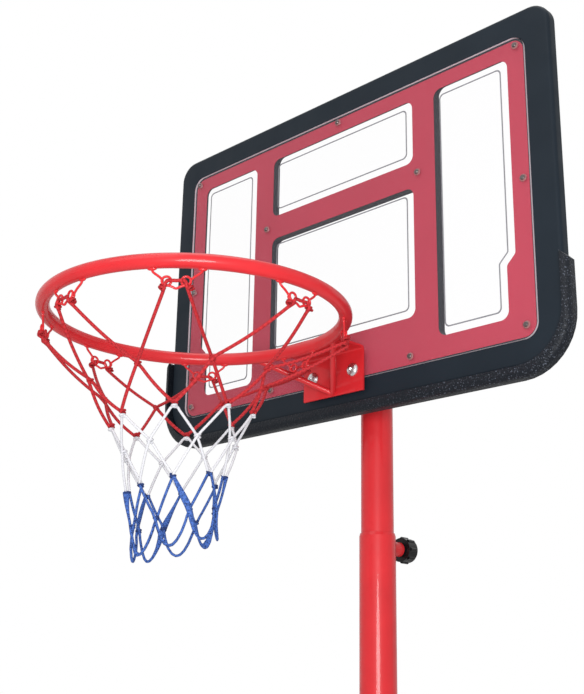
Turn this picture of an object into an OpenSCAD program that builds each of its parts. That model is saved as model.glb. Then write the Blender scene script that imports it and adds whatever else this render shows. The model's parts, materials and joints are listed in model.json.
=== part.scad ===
// Portable basketball hoop: clear board in a moulded frame, steel rim with a corded net,
// a telescoping pole held by a clamp knob, and a weighted base on two wheels.
// Millimetres. +Z is up, the board faces -Y, and the origin is on the floor at the pole's axis.

/* [Board frame] */
// Width of the moulded frame
board_w = 716; // [680:2:780]
// Height of the moulded frame
board_h = 480; // [460:2:540]
// Depth of the frame from its front face to its back
board_depth = 15; // [13:0.5:20]
// Radius of the upper corners
top_corner_r = 30; // [20:1:60]
// Radius of the lower corners
bottom_corner_r = 64; // [50:1:100]
// Radius of the frame's front edge
frame_edge_r = 5; // [3:0.5:8]
// Wall, skin and rib thickness of the hollow back
frame_wall = 4; // [3:0.5:5]
// Distance between the ribs of the hollow back
rib_pitch = 90; // [70:5:120]
// Border beside and above the clear sheet
border = 37; // [32:1:50]
// Border below the clear sheet
border_bottom = 33; // [24:1:40]
// How far the frame's openings reach beyond the printed windows at the sides
ledge_side = 12; // [0:1:12]
// How far the frame's openings reach beyond the printed windows at the top
ledge_top = 8; // [0:1:8]

/* [Clear sheet and print] */
// Thickness of the clear sheet
sheet_t = 3; // [2:0.5:4]
// Corner radius of the sheet
sheet_r = 20; // [14:1:30]
// Clearance around the sheet in its recess
sheet_gap = 1; // [0.5:0.1:2]
// How far the sheet's face stands out of the frame's face
sheet_rise = 1.5; // [0:0.1:1.8]
// Thickness of the printed film on the sheet's back
film_t = 0.4; // [0.3:0.1:0.8]
// Bare margin between the print and the sheet's edge
print_margin = 3; // [1:0.5:4]
// Printed border at the sheet's sides
print_side = 28; // [22:1:36]
// Printed border at the sheet's top
print_top = 25; // [20:1:34]
// Printed border below the side windows
print_bottom = 31; // [24:1:44]
// Extra height of the sill below the lower middle window
centre_sill = 36; // [28:1:50]
// Distance of each upright bar from the middle
bar_x = 155; // [140:1:175]
// Width of the upright bars
bar_w = 37; // [30:1:46]
// Height of the cross rail's middle above the frame's lower edge
rail_z = 304; // [280:1:330]
// Height of the cross rail
rail_h = 37; // [30:1:50]
// Corner radius of the windows
window_r = 12; // [8:1:16]
// Depth of the step in the outer edge of each side window
step_d = 13; // [8:1:18]
// Height of that step above the frame's lower edge
step_z = 140; // [120:1:170]
// Distance of the thin line from the window's edge
line_inset = 10; // [7:0.5:14]
// Width of the thin line
line_w = 1.8; // [1:0.1:3]
// Shank diameter of the sheet's screws
sheet_screw_d = 4; // [3:0.5:5]
// Length of the sheet's screws under the head
sheet_screw_l = 12; // [9:0.5:13]
// Diameter of the washers under the sheet's screws
sheet_washer_d = 10; // [9:0.5:14]
// Distance of the upper corner screws from the sheet's edges
corner_inset = 13; // [11:0.5:16]
// Distance of the other outer screws from the sheet's edge
side_inset = 10; // [8:0.5:12]
// Height of the side screws above the frame's lower edge
side_screw_z = 241; // [210:1:270]

/* [Edge pad] */
// Thickness of the pad at the frame's sides
pad_t = 10; // [8:1:18]
// How much thicker the pad is under the frame
pad_low = 5; // [0:1:8]
// How far the pad stands in front of the frame
pad_front = 8; // [4:1:12]
// How far the pad reaches back along the frame's edge
pad_back = 10; // [6:1:12]
// Height of the pad's ends above the frame's lower edge
pad_h = 120; // [105:1:150]
// Radius of the pad's front edge
pad_edge_r = 8; // [4:0.5:11]

/* [Rim] */
// Diameter of the ring at the middle of its tube
rim_d = 367; // [350:1:400]
// Diameter of the ring's tube
rim_tube_d = 17; // [12:0.5:20]
// Distance of the ring's centre from the frame's face
rim_reach = 258; // [245:1:290]
// Height of the ring above the frame's lower edge
rim_rise = 64; // [56:1:72]
// Height of the ring above the floor at rest
rim_height = 1600; // [1550:5:1700]
// Thickness of the rim bracket
plate_t = 3; // [2:0.5:6]
// Width of the rim bracket
plate_w = 109; // [100:1:130]
// Inner radius of the rim bracket's bend
plate_bend_r = 3; // [2:0.5:4]
// Height of the bracket's lower edge above the frame's lower edge
plate_foot = 13; // [8:1:16]
// Height of the moulded boss that carries the bracket
boss_h = 6; // [4:0.5:9]
// Width of that boss
boss_w = 86; // [84:1:100]
// Diameter of the two brace rods
brace_d = 8; // [6:0.5:10]
// Distance of each rod's upper end from the middle
brace_x = 75; // [50:1:85]
// Diameter of the rim bolts
bolt_d = 8; // [6:1:10]
// Distance between the rim bolts
bolt_pitch = 73; // [66:1:76]
// Height of the rim bolts above the frame's lower edge
bolt_z = 44; // [40:1:46]

/* [Net] */
// Number of hooks, and of loops in the net
hooks = 8; // [6:1:12]
// Diameter of the hook wire
hook_d = 3.2; // [2.5:0.1:4]
// Width of each hook
hook_w = 52; // [40:1:60]
// Depth of each hook below the ring's tube
hook_drop = 17.5; // [14:0.5:24]
// Length of the net below the ring's middle
net_l = 296; // [260:2:340]
// Radius of the net's lower end
net_end_r = 50; // [45:1:70]
// Diameter of the net's cord
cord_d = 5; // [3.5:0.5:6]

/* [Pole] */
// Distance of the pole's axis behind the frame's face
pole_offset = 84; // [78:1:95]
// Outside diameter of the upper pole
upper_d = 45; // [40:1:45]
// Wall of the upper pole
upper_wall = 1.5; // [1.2:0.1:2.5]
// Wall of the middle and bottom poles
lower_wall = 2; // [1.5:0.1:3]
// Clearance between the upper pole and the tube round it
slide_gap = 0.5; // [0.3:0.1:0.9]
// Bare length of the upper pole below the frame at rest
bare_l = 163; // [140:1:200]
// Length of the upper pole inside the middle pole at rest
insert_l = 480; // [420:5:520]
// Height of the shoulder where the middle pole sits on the bottom pole
joint_z = 600; // [500:5:640]
// Length of the bottom pole's spigot
spigot_l = 80; // [50:1:90]
// Width of the rear bracket
bracket_w = 254; // [200:2:260]
// Thickness of the rear bracket
bracket_t = 3; // [2.5:0.5:4]
// Height of the rear bracket's lower edge above the frame's lower edge
bracket_foot = 14; // [12:1:16]
// Height of the rear bracket's upper edge above the frame's lower edge
bracket_top = 94; // [84:1:96]

/* [Clamp] */
// Distance of the clamp's axis below the end of the middle pole
clamp_drop = 17; // [16:1:40]
// Diameter of the welded boss
clamp_boss_d = 20; // [18:1:26]
// Length of the welded boss
clamp_boss_l = 21; // [16:1:28]
// Diameter of the clamp's screw
stud_d = 10; // [8:1:10]
// Diameter of the pressure pad
clamp_pad_d = 12; // [11:0.5:14]
// Thickness of the pressure pad
clamp_pad_t = 4; // [3:0.5:5]
// How far the clamp opens
clamp_open = 4.5; // [3:0.5:6]
// Diameter of the knob over its lobes
knob_d = 37; // [30:1:48]
// Thickness of the knob
knob_t = 18; // [14:1:24]
// Number of lobes on the knob
knob_lobes = 8; // [5:1:10]

/* [Base] */
// Width of the base tank
tank_w = 520; // [480:5:640]
// Length of the base tank behind the pole's axis
tank_back = 350; // [300:5:420]
// Length of the base tank in front of the pole's axis
tank_front = 105; // [100:1:130]
// Height of the base tank
tank_h = 120; // [112:2:150]
// Height of the tank's lower tier and of its nose
tier_h = 64; // [60:1:74]
// Distance of the upper tier from the lower tier's edge
tier_inset = 24; // [14:1:30]
// Corner radius of the base tank
tank_r = 60; // [45:1:80]
// Radius of the tank's upper edges
tank_edge_r = 10; // [6:1:14]
// Wall of the base tank
tank_wall = 5; // [4:0.5:7]
// Height of the sand in the tank
sand_h = 104; // [60:1:106]
// Width of the nose between the wheels
nose_w = 400; // [340:5:420]
// Length of the nose in front of the tank
nose_l = 84; // [80:1:110]
// Height of the socket's floor
socket_floor = 15; // [10:1:30]
// Diameter of the collar's flange
collar_d = 130; // [120:1:150]
// Height of the collar above the tank
collar_h = 48; // [35:1:70]
// Distance of the filler from the middle
filler_x = 165; // [120:1:180]
// Distance of the filler behind the pole's axis
filler_y = 250; // [150:1:260]
// Bore of the filler neck
filler_bore = 36; // [28:1:44]
// Wall of the filler neck
filler_wall = 4; // [3:0.5:5]
// Height of the filler neck
filler_h = 16; // [12:1:22]
// Thickness of the cap's seal
seal_t = 2; // [1.5:0.5:3]
// Wheel diameter
wheel_d = 80; // [64:2:80]
// Wheel width
wheel_w = 24; // [18:1:30]
// Height of the wheels above the floor while the base stands flat
wheel_lift = 2; // [1:0.5:4]
// Axle diameter
axle_d = 10; // [8:1:12]

/* [Hidden] */
$fn = 48;
arc_steps = 10;
cord_sides = 6;
// Clearances: bodies side by side, a running shaft, a bolt in its hole, and how far cuts run past a face
touch_gap = 0.3;
run_gap = 0.05;
fit_gap = 0.25;
over = 1;
// Steps of a rounded edge, as turns from the wall to the flat face
edge_turns = [90:-30:0];
// Small details of the moulded and pressed pieces
boss_margin = 8;
boss_gap = 2;
small_r = 0.5;
bracket_r = 6;
bracket_screw_l = 7;
bracket_screw_inset = 12;
lower_screw_rise = 17;
lower_screw_inset = 15;
sill_screw_rise = 13;
// Where the bracket's flange ends before the middle of the ring's tube, and how far it is set into the tube
flange_short = 1;
flange_sink = 0.4;
bolt_end = 3;
pole_below_bracket = 4;
plug_flange_t = 3;
plug_l = 10;
bush_flange_t = 5;
bush_l = 20;
lip_h = 4;
neck_l = 20;
neck_taper = 10;
screw_end = 3;
boss_root = 4;
knob_gap = 3;
nose_r = 18;
collar_wall = 6;
wheel_play = 0.5;
tread_t = 11;
tread_edge = 3;
wheel_holes = 5;
axle_cap_t = 11;
axle_cap_depth = 8;
cap_ribs = 18;
cap_rib_d = 3;
cap_gap = 1;

// Places worked out from the sizes above
board_y = -pole_offset;
board_z = rim_height - rim_rise;
sheet_w = board_w - 2 * border;
sheet_top = board_h - border;
film_y = sheet_t - sheet_rise;
recess = film_y + film_t;
rim_r = rim_d / 2;
plate_y = -boss_h - plate_t;
plate_top = rim_rise + rim_tube_d / 2 - flange_sink + plate_t;
flange_reach = rim_reach - rim_r - flange_short;
boss_z = [plate_foot + boss_margin, plate_top - boss_margin];
bracket_y = board_depth + bracket_t;
nut_d = bolt_d * 1.875;
nut_t = bolt_d * 0.8;
nut_seat = bolt_d * 0.2;
nut_room = nut_d / 2 + 4;
ear_lower = [bracket_foot, bolt_z - nut_room];
ear_upper = [bolt_z + nut_room, bracket_top];
ear_x = upper_d / 2 + touch_gap;
ear_back = 14;
upper_r = upper_d / 2;
lower_bore_r = upper_r + slide_gap;
lower_r = lower_bore_r + lower_wall;
upper_top = board_z + bracket_top - pole_below_bracket;
middle_top = board_z - bare_l;
upper_foot = middle_top - insert_l;
clamp_z = middle_top - clamp_drop;
pad_seat = upper_r + touch_gap;
stud_seat = pad_seat + clamp_pad_t;
boss_end = lower_r + clamp_boss_l;
knob_y = boss_end + knob_gap;
knob_core = knob_d * 0.45;
stud_end = knob_y + knob_t * 0.7;
axle_z = wheel_lift + wheel_d / 2;
axle_y = -tank_front - nose_l / 2;
wheel_x = nose_w / 2 + fit_gap + wheel_play;
cap_seat = wheel_x + wheel_w + wheel_play;
filler_r = filler_bore / 2 + filler_wall;
filler_top = tank_h + filler_h;
cap_wall = 4;
cap_top = filler_top + seal_t + cap_wall;
socket_r = lower_r + fit_gap;
flange_t = 8;
screw_head = [1.7, 0.5];
washer_t = 1.5;

sheet_screw_spots = concat(
    [for (side = [-1, 1]) [side * (sheet_w / 2 - corner_inset), sheet_top - corner_inset]],
    [for (side = [-1, 1]) [side * (sheet_w / 2 - side_inset), side_screw_z]],
    [for (side = [-1, 1]) [side * (sheet_w / 2 - lower_screw_inset), border_bottom + lower_screw_rise]],
    [for (side = [-1, 1]) [side * (bar_x - bar_w / 4), rail_z]],
    [for (side = [-1, 1]) [side * (bar_x - 0.7 * bar_w), border_bottom + sill_screw_rise]],
    [[0, sheet_top - side_inset]]);
bracket_screw_d = 5;
bracket_screw_spots = let (inset = bracket_screw_inset)
    [for (x = [-1, 1], z = [bracket_foot + inset, bracket_top - inset]) [x * (bracket_w / 2 - inset), z]];
collar_screw_d = 5;
collar_screw_r = (collar_d / 2 + socket_r + collar_wall) / 2;

// Share of the net's length at each row of knots
net_rows = [0.30, 0.45, 0.57, 0.71, 0.85];
net_step = 360 / hooks;
// How far cords that cross pass beside each other, as a share of their diameter
knot_lift = 0.38;
// Where the cord hangs in a hook, as a share of its width from the middle
hook_seat = 0.21;
net_flare = 2.2;

RED = [0.80, 0.12, 0.12];
BLACK = [0.13, 0.15, 0.18];
ZINC = [0.75, 0.76, 0.78];

// Rounded outlines: each corner is [x, y, radius]
function unit(v) = v / norm(v);
function corner(a, p, b, r) =
    let (u = unit(a - p), v = unit(b - p), half = acos(u * v) / 2)
    let (c = p + unit(u + v) * r / sin(half), start = p + u * r / tan(half) - c)
    let (first = atan2(start.y, start.x), side = sign(cross(v, u)), turn = side * (180 - 2 * half))
    [for (i = [0:arc_steps]) let (angle = first + turn * i / arc_steps) c + r * [cos(angle), sin(angle)]];
function flat(c) = [c.x, c.y];
function rounded(list) =
    let (n = len(list))
    [for (i = [0:n - 1])
        let (before = flat(list[(i + n - 1) % n]), after = flat(list[(i + 1) % n]))
        each corner(before, flat(list[i]), after, list[i].z)];
function box_outline(x0, y0, x1, y1, r) = rounded([[x0, y0, r], [x1, y0, r], [x1, y1, r], [x0, y1, r]]);

// A solid with a rounded edge is a stack of outlines with as many points each, the rounded end last
function inset_at(r, turn) = r * (1 - sin(turn));
function drop_at(r, turn) = r * (1 - cos(turn));
module stack(layers) {
    n = len(layers[0]);
    last = (len(layers) - 1) * n;
    walls = [for (i = [0:len(layers) - 2], j = [0:n - 1])
        let (a = i * n + j, b = i * n + (j + 1) % n)
        [a, a + n, b + n, b]];
    ends = [[for (j = [0:n - 1]) j], [for (j = [n - 1:-1:0]) last + j]];
    polyhedron([for (layer = layers) each layer], concat(walls, ends));
}

// Outline of the frame, drawn in or out by an even amount, and let down by some more below
function frame_outline(inset, below = 0) =
    let (x = board_w / 2 - inset, low = bottom_corner_r - inset, high = top_corner_r - inset)
    let (foot = inset - below, top = board_h - inset)
    rounded([[-x, foot, low], [x, foot, low], [x, top, high], [-x, top, high]]);

// Outline of a side window with its step, grown by an even amount and by some more outwards and upwards;
// side is 1 for the right one
function side_window(side, grow, r, out, up) =
    let (inner = bar_x + bar_w / 2 - grow, outer = sheet_w / 2 - print_side + grow + out)
    let (low = border_bottom + print_bottom - grow, high = sheet_top - print_top + grow + up)
    let (shift = grow * (1 - sqrt(2)), small = max(r * 0.6, 0.5))
    rounded([[side * inner, low, r], [side * (outer - step_d), low, r],
        [side * (outer - step_d), step_z - step_d / 2 + shift, small],
        [side * outer, step_z + step_d / 2 + shift, small],
        [side * outer, high, r], [side * inner, high, r]]);
function centre_window(low, high, grow, r) =
    let (x = bar_x - bar_w / 2 + grow)
    box_outline(-x, low - grow, x, high + grow, r);
function window_outlines(grow, r, out, up) = [
    side_window(-1, grow, r, out, up), side_window(1, grow, r, out, up),
    centre_window(border_bottom + print_bottom + centre_sill, rail_z - rail_h / 2, grow, r),
    centre_window(rail_z + rail_h / 2, sheet_top - print_top + up, grow, r)];

// A layer between two depths behind the frame's face, drawn in the board's plane
module slab(front, back) {
    translate([0, back, 0]) rotate([90, 0, 0]) linear_extrude(back - front) children();
}
module on_board() {
    translate([0, board_y, board_z]) children();
}
// The frame's outline between two depths, grown by an even amount, with its front edge rounded
function at_depth(outline, depth) = [for (p = outline) [p.x, depth, p.y]];
module rounded_frame(front, back, grow, r, below = 0) {
    stack(concat([at_depth(frame_outline(-grow, below), back)], [for (turn = edge_turns)
        at_depth(frame_outline(inset_at(r, turn) - grow, below), front + drop_at(r, turn))]));
}
// The printed windows, and the frame's openings behind them
module windows(grow, r, out = 0, up = 0) {
    for (outline = window_outlines(grow, r, out, up)) polygon(outline);
}
module frame_openings(grow) {
    windows(grow, window_r + grow, ledge_side, ledge_top);
}
module sheet_area(grow) {
    x = sheet_w / 2 + grow;
    difference() {
        polygon(box_outline(-x, border_bottom - grow, x, sheet_top + grow, sheet_r + grow));
        boss_area(boss_gap - grow);
    }
}
module boss_area(grow) {
    size = [boss_w, boss_z[1] - boss_z[0]];
    translate([-boss_w / 2 - grow, boss_z[0] - grow]) square(size + 2 * [grow, grow]);
}
// Round holes or posts through the board's plane at a list of spots
module spots(list, d) {
    for (spot = list) translate(spot) circle(d = d);
}
rim_bolt_spots = [for (side = [-1, 1]) [side * bolt_pitch / 2, bolt_z]];

// A round bar between two points
module rod(from, to, d) {
    v = to - from;
    translate(from) rotate([0, acos(v.z / norm(v)), atan2(v.y, v.x)]) cylinder(h = norm(v), d = d);
}
// A tube of rings along a path; out points away from the ring's axis and steadies the rings
function path_dir(path, i) = unit(path[min(i + 1, len(path) - 1)] - path[max(i - 1, 0)]);
function path_ring(path, i, d) =
    let (dir = path_dir(path, i), out = unit([path[i].x, path[i].y, 0]))
    let (side = unit(cross(dir, out)), up = cross(side, dir))
    [for (j = [0:cord_sides - 1]) let (turn = 360 * j / cord_sides)
        path[i] + d / 2 * (cos(turn) * up + sin(turn) * side)];
module tube(path, d) {
    n = len(path);
    s = cord_sides;
    points = [for (i = [0:n - 1]) each path_ring(path, i, d)];
    walls = [for (i = [0:n - 2], j = [0:s - 1])
        let (a = i * s + j, b = i * s + (j + 1) % s)
        each [[a, a + s, b], [b, a + s, b + s]]];
    last = (n - 1) * s;
    ends = [for (j = [1:s - 2]) each [[0, j, j + 1], [last, last + j + 1, last + j]]];
    polyhedron(points, concat(walls, ends));
}
// A point round the ring's axis: angle from the rear, radius, and height from the ring's middle
function around(angle, r, z) = [r * sin(angle), r * cos(angle), z];
function net_r(share) = net_end_r + (rim_r - net_end_r) * pow(1 - share, net_flare);
// A knot of one row; of two cords that cross there, one passes outside (lift 1) and one inside (lift -1)
function knot(angle, row, lift) =
    around(angle, net_r(net_rows[row]) + lift * knot_lift * cord_d, -net_l * net_rows[row]);
module at_rim() {
    on_board() translate([0, -rim_reach, rim_rise]) children();
}

// Board
module backboard_frame() {
    color(BLACK) on_board() difference() {
        union() {
            difference() {
                rounded_frame(0, board_depth, 0, frame_edge_r);
                slab(-over, recess) sheet_area(sheet_gap);
                slab(-over, board_depth + over) frame_openings(0);
                slab(recess + frame_wall, board_depth + over) frame_pockets();
            }
            slab(-boss_h, recess + frame_wall / 2) boss_area(0);
        }
        slab(-boss_h - over, board_depth + over) spots(rim_bolt_spots, bolt_d + 2 * fit_gap);
        slab(0, sheet_screw_l - washer_t - sheet_rise) spots(sheet_screw_spots, sheet_screw_d);
        slab(board_depth - bracket_screw_l, board_depth + over) spots(bracket_screw_spots, bracket_screw_d);
    }
}
// Pockets of the hollow back, between the ribs and clear of screws and the rear bracket
module frame_pockets() {
    columns = floor(board_w / 2 / rib_pitch);
    rows = floor(board_h / rib_pitch);
    difference() {
        polygon(frame_outline(frame_wall));
        frame_openings(frame_wall);
        for (i = [-columns:columns])
            translate([i * rib_pitch - frame_wall / 2, 0]) square([frame_wall, board_h]);
        for (i = [1:rows])
            translate([-board_w / 2, i * rib_pitch - frame_wall / 2]) square([board_w, frame_wall]);
        spots(sheet_screw_spots, sheet_screw_d + 2 * frame_wall);
        translate([-bracket_w / 2 - frame_wall, 0])
            square([bracket_w + 2 * frame_wall, bracket_top + frame_wall]);
    }
}
module edge_pad() {
    x = board_w / 2;
    out = x + pad_t + over;
    top = board_h + pad_t + over;
    color(BLACK) on_board() difference() {
        rounded_frame(-pad_front, pad_back, pad_t, pad_edge_r, pad_low);
        slab(-pad_front - over, pad_back + over) {
            polygon(frame_outline(0));
            polygon([[-out, pad_h - over], [-x, pad_h + pad_t], [x, pad_h + pad_t], [out, pad_h - over],
                [out, top], [-out, top]]);
        }
    }
}
module clear_sheet() {
    color([0.85, 0.9, 0.92, 0.35]) on_board() slab(-sheet_rise, film_y) difference() {
        sheet_area(0);
        spots(sheet_screw_spots, sheet_screw_d + 2 * fit_gap);
    }
}
module red_print() {
    color([0.78, 0.25, 0.3]) on_board() slab(film_y, recess) difference() {
        sheet_area(-print_margin);
        windows(0, window_r);
        spots(sheet_screw_spots, sheet_screw_d + 2 * fit_gap);
    }
}
module line_print() {
    color([0.4, 0.4, 0.42]) on_board() slab(film_y, recess) difference() {
        windows(-line_inset, window_r * 0.6);
        windows(-line_inset - line_w, window_r * 0.6 - line_w / 2);
    }
}
// A pan head standing on its seat, for a shank of the given diameter
module screw_top(d) {
    r = screw_head[0] * d / 2;
    h = screw_head[1] * d;
    rotate_extrude() polygon([[0, 0], [r, 0], [r, h * 0.4], [r * 0.7, h], [0, h]]);
}
// A pan-head screw at each spot of the board; way is 1 from the front and -1 from the back
module screws(list, seat, length, d, way) {
    for (spot = list) translate([spot.x, seat, spot.y]) rotate([way * 90, 0, 0]) {
        translate([0, 0, -length]) cylinder(h = length, d = d);
        screw_top(d);
    }
}
module sheet_screws() {
    color([0.35, 0.34, 0.33]) on_board()
        screws(sheet_screw_spots, -sheet_rise - washer_t, sheet_screw_l, sheet_screw_d, 1);
}
module screw_washers() {
    r = sheet_washer_d / 2;
    hole = sheet_screw_d / 2;
    color([0.8, 0.78, 0.74]) on_board() for (spot = sheet_screw_spots)
        translate([spot.x, -sheet_rise, spot.y]) rotate([90, 0, 0]) rotate_extrude()
            polygon([[hole, 0], [r, 0], [r - washer_t / 2, washer_t], [hole, washer_t]]);
}

// Rear bracket: a plate on the frame's back with two pairs of ears beside the pole
module rear_bracket() {
    color(BLACK) on_board() difference() {
        union() {
            slab(board_depth, bracket_y)
                polygon(box_outline(-bracket_w / 2, bracket_foot, bracket_w / 2, bracket_top, bracket_r));
            for (side = [-1, 1], span = [ear_lower, ear_upper])
                translate([side > 0 ? ear_x : -ear_x - bracket_t, board_depth, span[0]])
                    cube([bracket_t, pole_offset + ear_back - board_depth, span[1] - span[0]]);
        }
        slab(board_depth - over, bracket_y + over) spots(rim_bolt_spots, bolt_d + 2 * fit_gap);
        slab(board_depth - over, bracket_y + over) spots(bracket_screw_spots, bracket_screw_d + 2 * fit_gap);
        for (span = [ear_lower, ear_upper]) pole_hole(span, bolt_d + 2 * fit_gap);
    }
}
// The cross hole through a pair of ears and the pole, in the board's own place
module pole_hole(span, d) {
    reach = ear_x + bracket_t + over;
    translate([-reach, pole_offset, (span[0] + span[1]) / 2]) rotate([0, 90, 0])
        cylinder(h = 2 * reach, d = d);
}
module bracket_screws() {
    length = bracket_screw_l + bracket_t;
    color(ZINC) on_board() screws(bracket_screw_spots, bracket_y, length, bracket_screw_d, -1);
}

// Rim
module ring_solid() {
    at_rim() rotate_extrude() translate([rim_r, 0]) circle(d = rim_tube_d);
}
module rim_ring() {
    color(RED) ring_solid();
}
module rim_bracket() {
    profile = rounded([[-boss_h, plate_foot, small_r], [-boss_h, plate_top, plate_bend_r + plate_t],
        [-flange_reach, plate_top, small_r], [-flange_reach, plate_top - plate_t, small_r],
        [plate_y, plate_top - plate_t, plate_bend_r], [plate_y, plate_foot, small_r]]);
    color(RED) on_board() difference() {
        translate([-plate_w / 2, 0, 0]) rotate([90, 0, 90]) linear_extrude(plate_w) polygon(profile);
        slab(plate_y - over, -boss_h + over) spots(rim_bolt_spots, bolt_d + 2 * fit_gap);
        translate([0, -board_y, -board_z]) ring_solid();
    }
}
module rim_braces() {
    rise = plate_foot + brace_d / 2;
    brace_y = sqrt(rim_r * rim_r - brace_x * brace_x) - rim_reach;
    color(RED) difference() {
        on_board() difference() {
            for (side = [-1, 1]) rod([0, plate_y + over, rise], [side * brace_x, brace_y, rim_rise], brace_d);
            translate([-plate_w / 2, plate_y, 0]) cube([plate_w, plate_t + boss_h, plate_top]);
        }
        ring_solid();
    }
}
// Round-headed bolts through the bracket, the boss, the frame and the rear bracket
module rim_bolts() {
    head_r = bolt_d * 1.18;
    head_h = bolt_d * 0.7;
    socket_d = bolt_d * 0.7;
    socket_h = head_h * 0.6;
    length = bracket_y + nut_seat + nut_t + bolt_end - plate_y;
    dome = [for (i = [0:6]) [head_r * cos(15 * i), head_h * sin(15 * i)]];
    color(ZINC) on_board() for (spot = rim_bolt_spots)
        translate([spot.x, plate_y, spot.y]) rotate([90, 0, 0]) {
            translate([0, 0, -length]) cylinder(h = length, d = bolt_d);
            difference() {
                rotate_extrude() polygon(concat([[0, 0]], dome));
                translate([0, 0, head_h - socket_h]) cylinder(h = head_h, d = socket_d, $fn = 6);
            }
        }
}
module rim_washers() {
    color(ZINC) on_board() slab(bracket_y, bracket_y + nut_seat) difference() {
        spots(rim_bolt_spots, bolt_d * 1.8);
        spots(rim_bolt_spots, bolt_d);
    }
}
// A six-sided nut on a bolt that lies along +Z
module nut() {
    difference() {
        cylinder(h = nut_t, d = nut_d, $fn = 6);
        translate([0, 0, -over]) cylinder(h = nut_t + 2 * over, d = bolt_d);
    }
}
module rim_nuts() {
    color(ZINC) on_board() for (spot = rim_bolt_spots)
        translate([spot.x, bracket_y + nut_seat, spot.y]) rotate([-90, 0, 0]) nut();
}
// Turn round the ring for a share of a hook's width
function hook_turn(share) = share * hook_w / rim_r * 180 / PI;
// Wire hooks, each welded to the ring at both ends and bent in two low corners with a dip between
module net_hooks() {
    top = -rim_tube_d / 2;
    half = [[0.50, 0], [0.50, 0.10], [0.40, 0.60], [0.30, 0.95], [hook_seat, 1.00], [0.12, 0.82],
        [0.06, 1.00]];
    bends = concat(half, [[0, 1.15]], [for (i = [len(half) - 1:-1:0]) [-half[i].x, half[i].y]]);
    color(RED) at_rim() for (k = [0:hooks - 1])
        tube([for (bend = bends)
            around(net_step * k + hook_turn(bend.x), rim_r, top - bend.y * hook_drop)], hook_d);
}
// Net: each red cord hangs over one hook, each white one from a red knot, each blue one from white knots
module net_red() {
    turn = hook_turn(hook_seat);
    hook_z = -rim_tube_d / 2 - hook_drop;
    color(RED) at_rim() for (k = [0:hooks - 1]) let (a = k * net_step)
        tube([knot(a - net_step, 1, -1), knot(a - net_step / 2, 0, -1), around(a - turn, rim_r, hook_z),
            around(a + turn, rim_r, hook_z), knot(a + net_step / 2, 0, 1), knot(a + net_step, 1, 1)], cord_d);
}
module net_white() {
    color("white") at_rim() for (k = [0:hooks - 1]) let (a = k * net_step)
        tube([knot(a - net_step, 3, -1), knot(a - net_step / 2, 2, -1), knot(a, 1, 0),
            knot(a + net_step / 2, 2, 1), knot(a + net_step, 3, 1)], cord_d);
}
module net_blue() {
    low = net_rows[4];
    loop = [for (i = [1:7]) let (share = low + (1 - low) * pow(sin(180 * i / 8), 0.7)) [i / 8, share]];
    color([0.2, 0.35, 0.75]) at_rim() for (k = [0:hooks - 1]) let (a = k * net_step)
        tube(concat([knot(a, 3, -1), knot(a + net_step / 2, 4, -1)],
            [for (p = loop) around(a + net_step / 2 + net_step * p.x, net_r(p.y), -net_l * p.y)],
            [knot(a + 1.5 * net_step, 4, 1), knot(a + 2 * net_step, 3, 1)]), cord_d);
}

// Pole
module pipe(z0, z1, outer, inner) {
    rotate_extrude() polygon([[inner, z0], [outer, z0], [outer, z1], [inner, z1]]);
}
module upper_pole() {
    color(RED) difference() {
        pipe(upper_foot, upper_top, upper_r, upper_r - upper_wall);
        on_board() for (span = [ear_lower, ear_upper]) pole_hole(span, bolt_d + 2 * fit_gap);
    }
}
// A plug with a flange, closing one end of the upper pole
module plug(z, way, flange_r, flange_t, depth) {
    r = upper_r - upper_wall - fit_gap / 2;
    translate([0, 0, z]) rotate([way > 0 ? 0 : 180, 0, 0]) {
        cylinder(h = flange_t, r = flange_r);
        translate([0, 0, -depth]) cylinder(h = depth + flange_t / 2, r = r);
    }
}
module pole_cap() {
    color(BLACK) plug(upper_top, 1, upper_r, plug_flange_t, plug_l);
}
module guide_bush() {
    color(BLACK) plug(upper_foot, -1, lower_bore_r - touch_gap, bush_flange_t, bush_l);
}
module pole_bolts() {
    reach = ear_x + bracket_t;
    color(ZINC) on_board() for (span = [ear_lower, ear_upper])
        translate([-reach, pole_offset, (span[0] + span[1]) / 2]) rotate([0, 90, 0]) {
            cylinder(h = 2 * reach + nut_t + bolt_end, d = bolt_d);
            translate([0, 0, -nut_t]) cylinder(h = nut_t, d = nut_d, $fn = 6);
        }
}
module pole_nuts() {
    color(ZINC) on_board() for (span = [ear_lower, ear_upper])
        translate([ear_x + bracket_t, pole_offset, (span[0] + span[1]) / 2]) rotate([0, 90, 0]) nut();
}
module middle_pole() {
    lip = lower_wall * 0.6;
    color(RED) difference() {
        rotate_extrude() polygon([[lower_bore_r, joint_z], [lower_r, joint_z], [lower_r, middle_top - lip_h],
            [lower_r - lip, middle_top], [lower_bore_r, middle_top]]);
        clamp_bore(lower_r + over);
        joint_hole(collar_screw_d);
    }
}
module bottom_pole() {
    spigot_r = lower_bore_r - fit_gap / 2;
    inner = spigot_r - lower_wall;
    color(RED) difference() {
        rotate_extrude() polygon([[lower_bore_r, socket_floor], [lower_r, socket_floor], [lower_r, joint_z],
            [spigot_r, joint_z], [spigot_r, joint_z + spigot_l], [inner, joint_z + spigot_l],
            [inner, joint_z - neck_l], [lower_bore_r, joint_z - neck_l - neck_taper]]);
        joint_hole(collar_screw_d);
    }
}
// The screw that keeps the two lower poles together, through the middle of the spigot
module joint_hole(d) {
    translate([0, 0, joint_z + spigot_l / 2]) rotate([-90, 0, 0]) cylinder(h = lower_r + over, d = d);
}
module joint_screw() {
    length = 2 * lower_wall + screw_end;
    color(ZINC) translate([0, lower_r, joint_z + spigot_l / 2]) rotate([-90, 0, 0]) {
        translate([0, 0, -length]) cylinder(h = length, d = collar_screw_d);
        screw_top(collar_screw_d);
    }
}

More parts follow.
